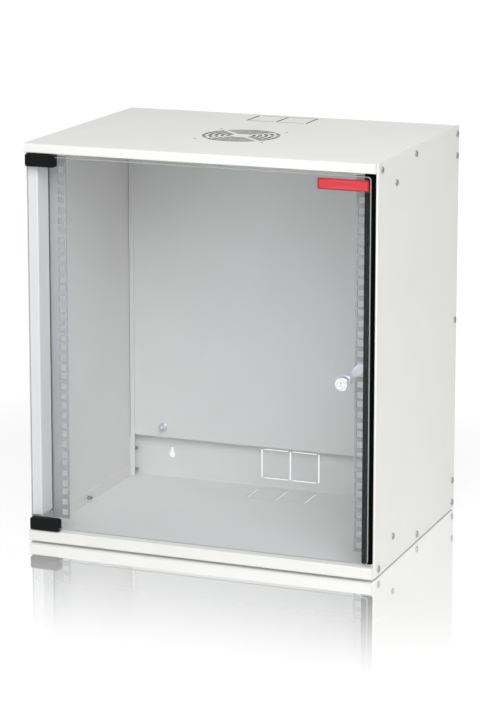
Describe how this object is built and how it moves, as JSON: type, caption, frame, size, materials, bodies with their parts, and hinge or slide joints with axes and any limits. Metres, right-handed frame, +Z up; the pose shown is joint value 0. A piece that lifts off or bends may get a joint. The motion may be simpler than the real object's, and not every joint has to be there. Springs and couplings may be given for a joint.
{
  "type": "wall mount network cabinet",
  "caption": "Wall-hung sheet steel cabinet for 19 inch equipment, with a frameless glass door on pivot clamps, rack rails, roof fan grille and cable knock-outs.",
  "frame": {"origin": "centre of the base, midway between the front lips and the rear face", "axes": "+X to the right seen from the front, +Y from the door to the wall, +Z up"},
  "size_m": [0.544, 0.4033, 0.6],
  "materials": {
    "case_paint": "light grey fine-textured powder coat on steel sheet",
    "rail_paint": "light grey powder coat on steel rails",
    "zinc": "bright zinc plate",
    "black_steel": "black oxide",
    "black_clamp": "satin black paint on zinc casting",
    "black_nylon": "moulded nylon",
    "black_foam": "closed-cell foam strip",
    "black_rubber": "smooth rubber",
    "clear_glass": "clear toughened glass, polished edges",
    "chrome": "polished nickel-chrome"
  },
  "bodies": {
    "cabinet": {"roof_pan": "case_paint", "floor_pan": "case_paint", "left_side_panel": "case_paint", "right_side_panel": "case_paint", "rear_panel": "case_paint", "left_rack_rail": "rail_paint", "right_rack_rail": "rail_paint", "left_panel_screws": "zinc", "right_panel_screws": "zinc", "rail_screws": "zinc", "upper_hinge_bush": "black_nylon", "lower_hinge_bush": "black_nylon", "door_seal": "black_foam", "earth_stud": "zinc", "earth_nut": "zinc"},
    "door": {"door_glass": "clear_glass", "upper_hinge_clamp": "black_clamp", "lower_hinge_clamp": "black_clamp", "upper_clamp_liner": "black_rubber", "lower_clamp_liner": "black_rubber", "upper_hinge_pin": "zinc", "lower_hinge_pin": "zinc", "clamp_screws": "black_steel", "lock_housing": "chrome", "lock_gasket": "black_rubber", "lock_washer": "zinc", "lock_nut": "zinc"},
    "lock_plug": {"lock_plug": "chrome", "lock_cam": "zinc", "cam_screw": "zinc"}
  },
  "joints": [
    {"name": "door_hinge", "type": "hinge", "parent": "cabinet", "child": "door", "pos_m": [-0.262, -0.1955, 0.302], "axis": [0, 0, -1], "range_deg": [0, 150]},
    {"name": "lock_turn", "type": "hinge", "parent": "door", "child": "lock_plug", "pos_m": [0.222, -0.199, 0.284], "axis": [0, -1, 0], "range_deg": [-45, 45]}
  ]
}
